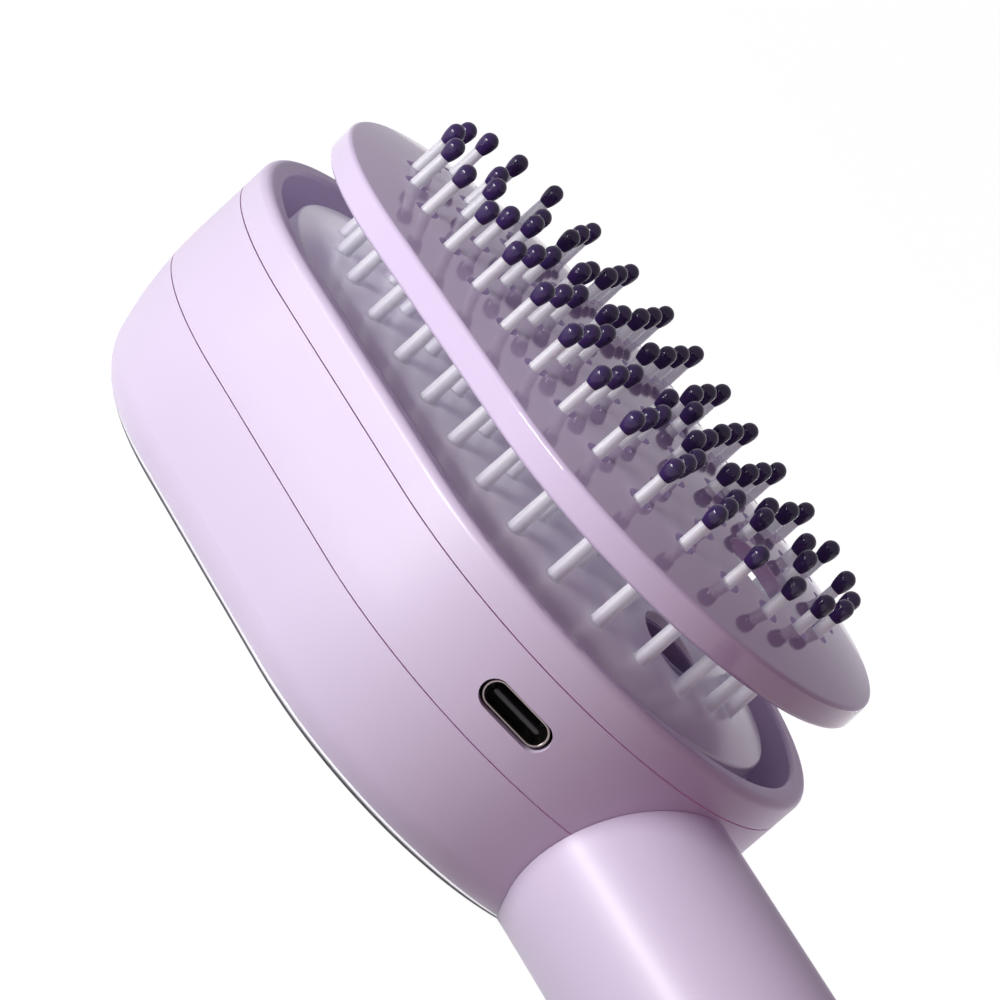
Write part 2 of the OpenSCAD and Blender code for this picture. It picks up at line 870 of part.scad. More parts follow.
module battery_cushions() {
    color("#5b5b60")
    for (x = [cell_start + cushion_in, cell_start + cell_l - cushion_in - cushion_l])
        difference() {
            along_handle(x, x + cushion_l, handle_in_r - fixed_fit);
            along_handle(x - 1, x + cushion_l + 1, cell_r + fixed_fit);
        }
}

// power button

module button_bezel() {
    color("#d9dbe0")
    difference() {
        intersection() {
            translate([button_x, 0, bezel_low]) cylinder(h = handle_r, r = bezel_r);
            along_handle(button_x - 2 * bezel_r, button_x + 2 * bezel_r, handle_r);
        }
        translate([button_x, 0, bezel_low - 1]) cylinder(h = handle_r, r = button_r + run_fit);
    }
}

module power_button() {
    color("#f1edf7")
    translate([button_x, 0, button_floor]) {
        intersection() {
            cylinder(h = handle_r, r = button_r);
            translate([-button_x, 0, -button_floor])
                along_handle(button_x - 2 * bezel_r, button_x + 2 * bezel_r, handle_r + button_proud);
        }
        cylinder(h = flange_t, r = button_r + flange_w);
    }
}

module button_switch() {
    top = button_floor - button_play - button_travel;
    color("#222226") {
        translate([button_x - switch_l / 2, -switch_l / 2, button_board_top])
            cube([switch_l, switch_l, top - switch_stem_l - button_board_top]);
        translate([button_x, 0, button_board_top + 1])
            cylinder(h = top - button_board_top - 1, r = switch_stem_r);
    }
}

module button_board() {
    color("#2e6b3c")
    translate([button_x - button_board_l / 2, -button_board_w / 2, button_board_top - board_t])
        cube([button_board_l, button_board_w, board_t]);
}

back_panel();
trim_ring();
back_shell();
mid_shell();
front_rim();
base_gasket();
bristle_base();
outer_ring_pins();
second_ring_pins();
third_ring_pins();
centre_ring_pins();
outer_ring_tips();
second_ring_tips();
third_ring_tips();
centre_ring_tips();
cleaning_plate();
outlet_sleeve();
ion_needle();
led_board();
red_leds();
main_board();
controller_chip();
usb_shell();
usb_insulator();
usb_tongue();
shell_screws();
board_screws();
strap_screws();
motor_can();
motor_shaft();
motor_weight();
motor_strap();
neck_tube();
handle_shell();
handle_end_cap();
battery_cell();
battery_cushions();
button_bezel();
power_button();
button_switch();
button_board();
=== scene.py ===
"""Looks of the massage comb: camera, light, materials and the finely made
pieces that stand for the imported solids. Lengths are written in millimetres
and turned into metres where a mesh or a shader takes them."""

import json
import math

import bmesh
import bpy
import numpy as np
from mathutils import Matrix, Vector, geometry


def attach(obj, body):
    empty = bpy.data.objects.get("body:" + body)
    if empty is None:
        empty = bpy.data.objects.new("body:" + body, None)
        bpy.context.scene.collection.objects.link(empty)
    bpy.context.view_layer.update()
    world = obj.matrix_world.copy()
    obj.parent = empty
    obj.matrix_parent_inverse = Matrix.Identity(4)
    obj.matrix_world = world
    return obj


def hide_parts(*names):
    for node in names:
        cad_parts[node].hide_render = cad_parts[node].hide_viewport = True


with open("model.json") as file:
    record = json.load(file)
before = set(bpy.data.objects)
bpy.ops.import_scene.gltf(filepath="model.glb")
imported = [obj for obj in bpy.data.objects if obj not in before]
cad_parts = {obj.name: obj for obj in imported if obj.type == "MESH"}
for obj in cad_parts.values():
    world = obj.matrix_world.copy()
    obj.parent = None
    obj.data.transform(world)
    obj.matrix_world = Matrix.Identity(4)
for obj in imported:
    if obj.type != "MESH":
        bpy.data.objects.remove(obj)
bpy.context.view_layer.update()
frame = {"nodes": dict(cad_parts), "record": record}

MM = 0.001
QUARTER = math.pi / 2
DIAGONAL = 0.7
NODE_SLOTS = {part["node"]: part["material_slot"] for part in frame["record"]["subparts"]}

# Sizes repeated from the part's source, in millimetres and degrees.

# The head's shells. WALL_R, BACK_R and TRIM_R are counted from the head's
# spine, which is a line of SIDE_HALF to either side of its middle.
SIDE_HALF = 15.0
HEAD_H = 31.0
WALL_R = 34.7
BACK_INSET = 9.3
BACK_R = WALL_R - BACK_INSET
CORNER_R = BACK_INSET * 0.82
LOW_SEAM = HEAD_H - 15.4
HIGH_SEAM = HEAD_H - 4.1
SEAM_GAP = 0.15
TRIM_R = 27.227
TRIM_TOP = 1.1
PANEL_T = 1.0
TRENCH_Z = 24.6
SEAL_T = 0.4
FIXED_FIT = 0.05
RUN_FIT = 0.08

# The bristle base and the cleaning plate, two crowned pieces.
BASE_R = 28.4
BASE_T = 1.8
BASE_EDGE_Z = 29.8
BASE_CROWN = 4.2
BASE_BALL_R = (BASE_R**2 + BASE_CROWN**2) / (2 * BASE_CROWN)
PLATE_R = 31.4
PLATE_Z = 42.2
PLATE_CROWN = 3.7
PLATE_BALL_R = (PLATE_R**2 + PLATE_CROWN**2) / (2 * PLATE_CROWN)
PLATE_WEB = 1.8
BAND_H = 3.5
BAND_W = 2.2
PLATE_ROUND = 0.6
PLATE_ROLL = 1.7
PLATE_TILT = 1.1
HOLE_R = 1.43
OUTLET_R = 4.4
SLEEVE_R = 4.6
SLEEVE_T = 0.6

# The bristles: three rings and ten that are placed one by one.
RING_NAMES = ("outer", "second", "third", "centre")
RING_R = [share * BASE_R for share in (0.816, 0.574, 0.351)]
RING_N = (30, 20, 18)
RING_GAP = 19.4
RING_HALF = 13.9
FIELD_SHIFT = 0.45
CENTRE_PLACES = (
    (-17.6, 2.2),
    (-10.2, 2.6),
    (-4.4, 3.6),
    (4.9, 4.8),
    (10.5, 2.6),
    (16.1, 2.3),
    (-15, -2.2),
    (-7.6, -2.7),
    (6.3, -2.3),
    (13.3, -2.9),
)
OUTLET_X = SIDE_HALF + BASE_R / 2 + FIELD_SHIFT
PIN_R = 0.8
PIN_TOP_R = 0.69
FOOT_R = 1.5
FOOT_T = 0.8
TIP_Z = HEAD_H + 17.6
TIP_R = 1.08
TIP_SIDE_R = 4.5
TIP_NECK_R = PIN_TOP_R + 0.05
TIP_L = TIP_R + math.sqrt(TIP_SIDE_R**2 - (TIP_SIDE_R - TIP_R + TIP_NECK_R) ** 2)

# The handle with its button, and the charging port.
HANDLE_R = 13.0
HANDLE_Z = 13.2
HANDLE_IN_R = 11.2
BUTTON_X = 84.0
BUTTON_R = 5.0
BUTTON_PROUD = 0.5
BEZEL_R = 7.0
BEZEL_LOW = HANDLE_Z + math.sqrt(HANDLE_IN_R**2 - BEZEL_R**2)
BUTTON_FLOOR = BEZEL_LOW - 1.1
FLANGE_T = 0.8
FLANGE_W = 1.0
PORT_ANGLE = 45.6
PORT_Z = 21.1
USB_FRONT = WALL_R - 0.9
USB_DEEP = 7.3
USB_L = 8.94
USB_H = 3.26
USB_WALL = 0.3
TONGUE_L = 6.7
TONGUE_T = 0.7
TONGUE_FROM = USB_FRONT - USB_DEEP + 1.6
TONGUE_TO = USB_FRONT - 0.7

# Sizes of the finer forms, which are for looks alone.

# The chrome band as high as the photograph shows it, the height from which it
# is proud of the shell, how deep its upper edge goes into the shell, and its
# roundings.
TRIM_SEEN = 1.75
TRIM_PROUD = 0.03
TRIM_PROUD_FROM = 0.2
TRIM_ROOT = 0.1
TRIM_IN_R = BACK_R + CORNER_R * 0.45
TRIM_STEPS = 13
TRIM_ROUNDS = (0.06, 0.02, 0.08)
PANEL_STEPS = 8
PANEL_ROUNDS = (0.06, 0.1)

# Roundings of the crowned pieces' rims and holes, and their meshes' steps.
RIM_INNER_ROUND = 0.15
RIM_INNER_H = 0.4
BASE_ROUND = 0.5
BASE_LOW_ROUND = 0.15
PLATE_HOLE_ROUND = 0.12
BASE_HOLE_ROUND = 0.1
PLATE_MESH = 1.6
BASE_MESH = 0.9
MESH_GAP = 0.35
ROW_PITCH = 0.866
MESH_NEAR = 1e-6
DISC_SHARE = 0.995

# A rounded corner's largest step in radians, and the rounds in which a point
# of a leaning skin is found.
ROUND_STEP = 0.35
SKIN_ROUNDS = 6

# The shafts over the base, thicker than the source's as in the photograph,
# with a fillet on the base.
SHAFT_R = 0.92
SHAFT_TOP_R = 0.72
SHAFT_DIP = -0.3
SHAFT_RISES = (0.7, 1.2, 1.7, 2.2, 2.7, 3.2)
WAIST_RISE = 0.4
FILLET_R = 0.22
FILLET_LIFT = 0.015

# The tips' flat foot with its bevel, the share of the long side that is drawn,
# and how far the round end is closed.
TIP_FLAT_IN = 0.06
TIP_BEVEL_IN = 0.01
TIP_BEVEL_H = 0.02
TIP_SIDE_SHARE = 0.97
TIP_END_STEPS = 8
TIP_END_SPAN = 8.35

# The outlet sleeve: how far it ends under the base's skin and starts over the
# trench's floor, and its roundings from the outer foot round to the inner.
SLEEVE_UNDER = 0.4
SLEEVE_OVER = 1.2
SLEEVE_ROUNDS = (0.1, 0.15, 0.25, 0.3)
SLEEVE_CENTRE_R = 0.3

# Roundings of the port, the bezel and the button, where the tongue's and the
# button's flat faces begin, and the rows on the button's crown as shares of
# its radius.
USB_BACK_ROUND = 0.05
USB_LIP_ROUND = 0.13
TONGUE_BACK_ROUND = 0.03
TONGUE_NOSE_ROUND = 0.2
TONGUE_CENTRE = 0.02
BEZEL_EDGE = 0.12
BEZEL_ROLL = 0.35
BUTTON_EDGE = 0.55
BUTTON_CENTRE_R = 0.2
BUTTON_SHARES = (0.7, 0.5, 0.3, 0.1)

# Points round a hole, a bristle, a tip and the larger round pieces.
PLATE_HOLE_STEPS = 40
BASE_HOLE_STEPS = 32
OUTLET_STEPS = 96
SHAFT_STEPS = 24
TIP_STEPS = 32
BEZEL_STEPS = 96
BUTTON_STEPS = 72


# Camera and light.

# The camera, recovered from the photograph's outline, seams and bristles.
CAMERA_PLACE = (275.265, -384.67, 132.073)
CAMERA_RIGHT = Vector((0.4468, 0.5216, 0.7268))
CAMERA_UP = Vector((-0.6909, -0.3149, 0.6508))
CAMERA_BACK = Vector((0.5683, -0.7929, 0.2197))
SENSOR = 36
LENS = 153.878

# Name, direction, distance and size in metres, power, colour, and whether
# reflections show it. All look at LAMP_AIM, also in metres.
LAMPS = (
    ("key", (-0.255, -0.955, 0.03), 0.36, (0.2, 0.05), 1.13, (1, 1, 1), True),
    ("back", (-0.05, 0.99, 0.0), 0.6, (0.3, 0.03), 1.3, (0.98, 0.95, 1.0), False),
    ("bounce", (0.85, -0.35, 0.25), 0.3, (0.1, 0.1), 0.05, (1.0, 0.35, 0.4), False),
)
LAMP_AIM = Vector((0, 0, 0.02))

# The room: its level and tint on surfaces, at the horizon and added overhead,
# and in reflections.
WORLD_SOFT = 0.02
WORLD_TOP = 0.17
WORLD_BEND = 2.0
WORLD_GLOSS = 0.68
SOFT_TINT = (1.0, 0.77, 1.12, 1)
GLOSS_TINT = (1.0, 0.94, 1.03, 1)
WHITE = (1, 1, 1, 1)

# The floor: its reach and drop in metres, its paint's two colours, its glow and
# the distances from the spine over which the painted shadow in its reflection
# turns from dark to pale.
FLOOR_REACH = 12
FLOOR_DROP = 0.0002
FLOOR_DARK = (0.3, 0.28, 0.3, 1)
FLOOR_PALE = (0.9, 0.9, 0.9, 1)
FLOOR_GLOW = 0.92
SHADE_FROM = BACK_R + 2.6
SHADE_TO = BACK_R + 3.9


def make_camera():
    data = bpy.data.cameras.new("camera")
    data.sensor_width = SENSOR
    data.lens = LENS
    data.clip_start, data.clip_end = 0.01, 100
    camera = bpy.data.objects.new("camera", data)
    axes = Matrix((CAMERA_RIGHT, CAMERA_UP, CAMERA_BACK)).transposed().to_4x4()
    camera.matrix_world = Matrix.Translation(Vector(CAMERA_PLACE) * MM) @ axes
    bpy.context.scene.collection.objects.link(camera)
    bpy.context.scene.camera = camera


def make_lamp(name, direction, distance, size, power, colour, glossy):
    """A soft oblong lamp that looks at the head from a direction. A fill lamp
    leaves no highlights."""
    data = bpy.data.lights.new(name, "AREA")
    data.shape = "RECTANGLE"
    data.size, data.size_y = size
    data.energy = power
    data.color = colour
    lamp = bpy.data.objects.new(name, data)
    toward = Vector(direction).normalized()
    lamp.matrix_world = (
        Matrix.Translation(toward * distance + LAMP_AIM)
        @ toward.to_track_quat("Z", "Y").to_matrix().to_4x4()
    )
    lamp.visible_glossy = glossy
    bpy.context.scene.collection.objects.link(lamp)


def node(tree, kind, **values):
    """A shader node. A value named in_X goes to the node's input X, and a node
    or a socket is joined to it."""
    made = tree.nodes.new(kind)
    for name, value in values.items():
        if not name.startswith("in_"):
            setattr(made, name, value)
            continue
        key = name[3:].replace("_", " ")
        socket = made.inputs[int(key) if key.isdigit() else key]
        if isinstance(value, bpy.types.Node):
            value = value.outputs[0]
        if isinstance(value, bpy.types.NodeSocket):
            tree.links.new(value, socket)
        else:
            socket.default_value = value
    return made


def reckon(tree, operation, *values, **settings):
    """The result of a sum over values and sockets."""
    inputs = {f"in_{k}": value for k, value in enumerate(values)}
    return node(tree, "ShaderNodeMath", operation=operation, **settings, **inputs).outputs[0]


def mixed(tree, share, first, second):
    """The colour at a share of the way from the first to the second."""
    mix = node(tree, "ShaderNodeMix", data_type="RGBA", in_0=share, in_6=first, in_7=second)
    return mix.outputs[2]


def make_world():
    """White to the camera, a bright room in reflections and a soft level on
    surfaces that grows toward the ceiling."""
    world = bpy.data.worlds.new("studio")
    bpy.context.scene.world = world
    world.use_nodes = True
    tree = world.node_tree
    tree.nodes.clear()
    path = tree.nodes.new("ShaderNodeLightPath")
    camera, glossy = path.outputs["Is Camera Ray"], path.outputs["Is Glossy Ray"]
    place = tree.nodes.new("ShaderNodeTexCoord").outputs["Generated"]
    height = node(tree, "ShaderNodeSeparateXYZ", in_0=place).outputs[2]
    rise = reckon(tree, "POWER", reckon(tree, "MAXIMUM", height, 0.0), WORLD_BEND)
    soft = reckon(tree, "MULTIPLY_ADD", rise, WORLD_TOP, WORLD_SOFT)
    room = node(tree, "ShaderNodeMix", data_type="FLOAT", in_0=glossy, in_2=soft, in_3=WORLD_GLOSS)
    level = reckon(tree, "MULTIPLY_ADD", camera, 1, room.outputs[0], use_clamp=True)
    tint = mixed(tree, glossy, SOFT_TINT, GLOSS_TINT)
    colour = mixed(tree, camera, tint, WHITE)
    sky = node(tree, "ShaderNodeBackground", in_Color=colour, in_Strength=level)
    node(tree, "ShaderNodeOutputWorld", in_Surface=sky)


def make_floor():
    """A pale floor, white to the camera and in reflections but for the strip
    by the head, a painted shadow which is dark in them so that the chrome trim
    keeps its dark line. It throws back the light of a darker floor."""
    mesh = bpy.data.meshes.new("floor")
    corners = [(-1, -1), (1, -1), (1, 1), (-1, 1)]
    mesh.from_pydata([(x * FLOOR_REACH, y * FLOOR_REACH, 0) for x, y in corners], [], [range(4)])
    floor = bpy.data.objects.new("floor", mesh)
    floor.location.z = -FLOOR_DROP
    bpy.context.scene.collection.objects.link(floor)
    material = bpy.data.materials.new("floor")
    material.use_nodes = True
    tree = material.node_tree
    tree.nodes.clear()
    path = tree.nodes.new("ShaderNodeLightPath")
    glossy = path.outputs["Is Glossy Ray"]
    seen = reckon(tree, "MAXIMUM", path.outputs["Is Camera Ray"], glossy)
    place = tree.nodes.new("ShaderNodeTexCoord").outputs["Object"]
    axes = node(tree, "ShaderNodeSeparateXYZ", in_0=place)
    along = reckon(tree, "ABSOLUTE", axes.outputs[0])
    past = reckon(tree, "MAXIMUM", reckon(tree, "SUBTRACT", along, SIDE_HALF * MM), 0.0)
    both = node(tree, "ShaderNodeCombineXYZ", in_0=past, in_1=axes.outputs[1])
    away = node(tree, "ShaderNodeVectorMath", operation="LENGTH", in_0=both)
    near = node(
        tree,
        "ShaderNodeMapRange",
        interpolation_type="SMOOTHSTEP",
        in_Value=away.outputs["Value"],
        in_From_Min=SHADE_FROM * MM,
        in_From_Max=SHADE_TO * MM,
        in_To_Min=1,
        in_To_Max=0,
    )
    hidden = reckon(tree, "MULTIPLY", near.outputs[0], glossy)
    shown = reckon(tree, "SUBTRACT", seen, hidden)
    level = reckon(tree, "MULTIPLY_ADD", hidden, -FLOOR_GLOW, FLOOR_GLOW)
    colour = mixed(tree, shown, FLOOR_DARK, FLOOR_PALE)
    paint = node(tree, "ShaderNodeBsdfDiffuse", in_Color=colour)
    glow = node(tree, "ShaderNodeEmission", in_Strength=level)
    lit = node(tree, "ShaderNodeAddShader", in_0=paint, in_1=glow)
    surface = node(tree, "ShaderNodeMixShader", in_0=seen, in_1=paint, in_2=lit)
    node(tree, "ShaderNodeOutputMaterial", in_Surface=surface)
    mesh.materials.append(material)


# Materials.

# Flow marks and grain, how much the gloss varies, and the grain's depth in
# metres.
FLOW_DETAIL = 3.0
GRAIN_SCALE = 2500.0
GRAIN_DETAIL = 2.0
GLOSS_SPREAD = 0.12
GRAIN_DEPTH = 0.0001

# Painted light: a glow that stands in for the light that milky plastic
# carries: over the base, more of it by the shafts' feet, where it fades with
# HALO_R, and as a painted pool of light toward the end far from the handle,
# and in the shafts and their feet. Distances are in millimetres.
HALO = (0.06, 0.06, 0.066, 1)
HALO_LEVEL = 0.2
HALO_RISE = 0.9
HALO_R = 1.9
LIT_FROM = -8
LIT_SPAN = 28
LIT_RISE = 2.4
SHAFT_GLOW = 2.4
FOOT_GLOW = 1.3
FOOT_SHARE = 1.15
FOOT_FADE = 3.2

# Painted light in the seams: a glow on flat faces within SEAM_REACH of their
# heights, where the grooves lie in shade.
SEAM_FACES = (LOW_SEAM, HIGH_SEAM - SEAM_GAP)
SEAM_REACH = 0.04
SEAM_FLAT = 0.9
SEAM_GLOW = (0.06, 0.012, 0.035, 1)


def linear(levels):
    """Linear values of a colour given in 0-255 screen levels."""
    return [(v / 255 / 12.92 if v <= 10 else ((v / 255 + 0.055) / 1.055) ** 2.4) for v in levels]


def seam_light(tree, place):
    """The strength of the seams' painted glow: one on their flat faces,
    elsewhere zero.
    """
    height = node(tree, "ShaderNodeSeparateXYZ", in_0=place).outputs[2]
    normal = tree.nodes.new("ShaderNodeNewGeometry").outputs["Normal"]
    up = node(tree, "ShaderNodeSeparateXYZ", in_0=normal).outputs[2]
    low, high = (reckon(tree, "COMPARE", height, z * MM, SEAM_REACH * MM) for z in SEAM_FACES)
    flat = reckon(tree, "GREATER_THAN", up, SEAM_FLAT)
    return reckon(tree, "MULTIPLY", reckon(tree, "MAXIMUM", low, high), flat)


def moulded(
    name,
    colour,
    roughness,
    shade=0.04,
    flow_scale=45.0,
    bump=0.04,
    foot=None,
    halo=False,
    seams=False,
    **fixed,
):
    """A moulded surface: faint flow marks in the colour, uneven gloss and a
    fine grain in the skin. With a foot colour the surface has a painted glow,
    and points marked as foot take the foot's colour and less of that glow.
    With halo a painted glow is brighter where points are marked so, and with
    seams the seams' flat faces get a painted glow. The fixed values go to the
    shader's own sockets."""
    material = bpy.data.materials.new(name)
    material.use_nodes = True
    tree = material.node_tree
    tree.nodes.clear()
    place = tree.nodes.new("ShaderNodeTexCoord").outputs["Object"]
    flow = node(
        tree, "ShaderNodeTexNoise", in_Vector=place, in_Scale=flow_scale, in_Detail=FLOW_DETAIL
    ).outputs["Fac"]
    skin = node(
        tree, "ShaderNodeTexNoise", in_Vector=place, in_Scale=GRAIN_SCALE, in_Detail=GRAIN_DETAIL
    ).outputs["Fac"]
    plain = linear(colour)
    darker = (*[c * (1 - shade) for c in plain], 1)
    lighter = (*[min(1, c * (1 + shade)) for c in plain], 1)
    tint = mixed(tree, flow, darker, lighter)
    gloss = node(
        tree,
        "ShaderNodeMapRange",
        in_Value=flow,
        in_To_Min=roughness * (1 - GLOSS_SPREAD),
        in_To_Max=roughness * (1 + GLOSS_SPREAD),
    )
    relief = node(
        tree, "ShaderNodeBump", in_Strength=bump, in_Distance=GRAIN_DEPTH, in_Height=skin
    )
    lights = {}
    if foot:
        mark = node(tree, "ShaderNodeAttribute", attribute_name="foot").outputs["Fac"]
        tint = mixed(tree, mark, tint, (*linear(foot), 1))
        level = reckon(tree, "MULTIPLY_ADD", mark, FOOT_GLOW - SHAFT_GLOW, SHAFT_GLOW)
        lights = {"in_Emission_Color": HALO, "in_Emission_Strength": level}
    if halo:
        mark = node(tree, "ShaderNodeAttribute", attribute_name="halo").outputs["Fac"]
        level = reckon(tree, "MULTIPLY_ADD", mark, HALO_RISE, HALO_LEVEL)
        lights = {"in_Emission_Color": HALO, "in_Emission_Strength": level}
    if seams:
        level = seam_light(tree, place)
        lights = {"in_Emission_Color": SEAM_GLOW, "in_Emission_Strength": level}
    shader = node(
        tree,
        "ShaderNodeBsdfPrincipled",
        in_Base_Color=tint,
        in_Roughness=gloss,
        in_Normal=relief,
        **lights,
    )
    for key, value in fixed.items():
        shader.inputs[key.replace("_", " ")].default_value = value
    node(tree, "ShaderNodeOutputMaterial", in_Surface=shader)
    return material


LOOKS = {
    # The seams get a painted glow.
    "lilac_shell": dict(
        colour=(227, 213, 238),
        roughness=0.42,
        shade=0.015,
        seams=True,
        Coat_Weight=0.15,
        Coat_Roughness=0.25,
    ),
    "back_panel": dict(colour=(238, 233, 245), roughness=0.12, shade=0.01, bump=0.01),
    "chrome_trim": dict(
        colour=(226, 227, 230), roughness=0.07, shade=0.01, bump=0.01, Metallic=1.0
    ),
    "seal": dict(colour=(58, 52, 68), roughness=0.6),
    # The base's painted glow, from the halo mark.
    "clear_base": dict(
        colour=(236, 232, 240),
        roughness=0.25,
        shade=0.03,
        bump=0.03,
        halo=True,
        Coat_Weight=0.3,
        Coat_Roughness=0.2,
    ),
    # The shafts glow with painted light, less of it at their feet.
    "white_bristle": dict(
        colour=(200, 198, 203),
        roughness=0.4,
        shade=0.01,
        bump=0.02,
        foot=(196, 192, 204),
        Subsurface_Weight=1.0,
        Subsurface_Radius=(1.0, 0.95, 1.0),
        Subsurface_Scale=0.0009,
    ),
    "purple_tip": dict(colour=(54, 32, 86), roughness=0.16, shade=0.15, bump=0.02, IOR=1.4),
    "cleaning_plate": dict(
        colour=(229, 212, 243), roughness=0.085, shade=0.02, flow_scale=30.0, bump=0.004
    ),
    "sleeve": dict(colour=(150, 135, 170), roughness=0.35),
    "circuit_board": dict(colour=(30, 96, 58), roughness=0.35, shade=0.3, flow_scale=400.0),
    "red_lamp": dict(colour=(215, 55, 45), roughness=0.15, shade=0.1),
    "black_plastic": dict(colour=(34, 34, 37), roughness=0.45, shade=0.1),
    "steel": dict(colour=(150, 142, 138), roughness=0.24, shade=0.06, Metallic=1.0),
    "cell": dict(colour=(60, 104, 175), roughness=0.3, shade=0.06),
    "foam": dict(colour=(80, 80, 84), roughness=0.9, shade=0.3, flow_scale=900.0, bump=0.5),
    "inner_plastic": dict(colour=(196, 189, 206), roughness=0.55),
    "button": dict(colour=(240, 236, 245), roughness=0.3, shade=0.01),
}
MATERIALS = {name: moulded(name, **look) for name, look in LOOKS.items()}


def dress_nodes():
    """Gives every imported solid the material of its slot."""
    for name, slot in NODE_SLOTS.items():
        data = frame["nodes"][name].data
        data.materials.clear()
        data.materials.append(MATERIALS[slot])


# Mesh tools.


class Form:
    """Points with their normals, and faces over them, in millimetres."""

    def __init__(self):
        self.points, self.normals, self.faces = [], [], []

    def add(self, point, normal):
        self.points.append(tuple(point))
        self.normals.append(tuple(normal))
        return len(self.points) - 1

    def join(self, first, second):
        """Quads between two closed rows of as many points."""
        count = len(first)
        for k in range(count):
            after = (k + 1) % count
            self.faces.append((first[k], first[after], second[after], second[k]))

    def bands(self, rows, closed=False):
        """Quads from row to row, if closed also from the last to the first."""
        for first, second in zip(rows, rows[1:]):
            self.join(first, second)
        if closed:
            self.join(rows[-1], rows[0])

    def cap(self, rows):
        """One flat face over the first row and one over the last."""
        self.faces += [tuple(rows[0]), tuple(rows[-1])]

    def piece(self, name, body, slot):
        """Makes the object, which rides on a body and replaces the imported
        solid of its name."""
        mesh = bpy.data.meshes.new(name)
        mesh.from_pydata([Vector(p) * MM for p in self.points], [], self.faces)
        shape = bmesh.new()
        shape.from_mesh(mesh)
        bmesh.ops.recalc_face_normals(shape, faces=shape.faces)
        shape.to_mesh(mesh)
        shape.free()
        mesh.shade_smooth()
        normals = [Vector(n).normalized() for n in self.normals]
        mesh.normals_split_custom_set_from_vertices(normals)
        mesh.materials.append(MATERIALS[slot])
        made = bpy.data.objects.new(name, mesh)
        bpy.context.scene.collection.objects.link(made)
        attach(made, body)
        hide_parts(name)
        return made


def mark_points(piece, name, values):
    """Gives a piece's points the values that its material reads."""
    mark = piece.data.attributes.new(name, "FLOAT", "POINT")
    mark.data.foreach_set("value", values)


def outline(corners):
    """Turns the corners (across, up, rounding) of a section, listed
    anticlockwise, into points with their outward normals. A corner with no
    rounding is smooth."""
    made = []
    count = len(corners)
    for k, (a, b, rounding) in enumerate(corners):
        here = Vector((a, b))
        before = (here - Vector(corners[k - 1][:2])).normalized()
        after = (Vector(corners[(k + 1) % count][:2]) - here).normalized()
        first, last = Vector((before.y, -before.x)), Vector((after.y, -after.x))
        if not rounding:
            made.append((here, (first + last).normalized()))
            continue
        turn = before.angle_signed(after) * -1
        reach = abs(rounding * math.tan(turn / 2))
        side = 1 if turn > 0 else -1
        centre = here - before * reach - first * rounding * side
        steps = max(2, round(abs(turn) / ROUND_STEP))
        for step in range(steps + 1):
            angle = turn * step / steps
            normal = Matrix.Rotation(angle, 2) @ first
            made.append((centre + normal * rounding * side, normal))
    return made


def open_outline(corners):
    """An outline from a flat underside to a flat top, which caps close."""
    made = outline(corners)
    made[0] = (made[0][0], Vector((0, -1)))
    made[-1] = (made[-1][0], Vector((0, 1)))
    return made


def arc(across, up, radius, start, end, steps):
    """Points round a centre with their normals. With a radius below zero the
    arc is hollow."""
    made = []
    for step in range(steps + 1):
        angle = start + (end - start) * step / steps
        normal = Vector((math.cos(angle), math.sin(angle)))
        made.append((Vector((across, up)) + normal * radius, normal))
    return made


def stations(half, end_steps, side_steps):
    """Places round a stadium: the spine's x and the direction outward."""
    made = []
    for sign in (1, -1):
        for k in range(end_steps):
            angle = math.pi * (k / end_steps - sign / 2)
            made.append((sign * half, math.cos(angle), math.sin(angle)))
        for k in range(side_steps):
            made.append((sign * half * (1 - 2 * k / side_steps), 0.0, float(sign)))
    return made


HEAD_PLACES = stations(SIDE_HALF, 72, 12)


def swept(form, section, places, moved=Matrix.Identity(4)):
    """Rows of points that carry a section round a stadium."""
    turned = moved.to_3x3()
    rows = []
    for (across, up), (side, rise) in section:
        rows.append(
            [
                form.add(
                    moved @ Vector((x + across * c, across * s, up)),
                    turned @ Vector((side * c, side * s, rise)),
                )
                for x, c, s in places
            ]
        )
    return rows


def turned_rows(section, on_skin=False):
    """A section's rows for lathe."""
    return [(a, b, side, rise, on_skin) for (a, b), (side, rise) in section]


def lathe(form, x, y, rows, count, skin=None, closed=False):
    """Turns rows (radius, height, side, rise, on skin) about an upright line.
    Where the last value says so, the height is above the skin."""
    made = []
    for r, height, side, rise, on_skin in rows:
        row = []
        for k in range(count):
            angle = 2 * math.pi * k / count
            c, s = math.cos(angle), math.sin(angle)
            px, py = x + r * c, y + r * s
            z, bend = height, Vector((side * c, side * s, rise))
            if on_skin:
                (_, _, base), tip = skin.place(px, py)
                z += base
                if rise:
                    bend += Vector((tip[0], tip[1], 0)) * rise
            row.append(form.add((px, py, z), bend))
        made.append(row)
    form.bands(made, closed)
    if not closed:
        form.cap(made)


class Dome:
    """A crowned skin over the head's outline, which may lean a little."""

    def __init__(self, edge_z, crown, ball_r, inset=0.0, lean=None, up=1):
        self.edge_z, self.reach = edge_z, ball_r - inset
        self.drop = crown - ball_r
        self.lean = lean or Matrix.Identity(3)
        self.up = up

    def place(self, x, y):
        """The skin's point over or under a place, and its outward normal."""
        back = self.lean.transposed()
        z = self.edge_z + self.drop + self.reach
        for _ in range(SKIN_ROUNDS):
            u, v, w = back @ Vector((x, y, z - self.edge_z))
            du = u - max(-SIDE_HALF, min(SIDE_HALF, u))
            rise = math.sqrt(self.reach**2 - du**2 - v**2)
            z += self.drop + rise - w
        normal = self.lean @ Vector((du, v, rise)) * (self.up / self.reach)
        return (x, y, z), normal


BASE_TOP = Dome(BASE_EDGE_Z, BASE_CROWN, BASE_BALL_R)


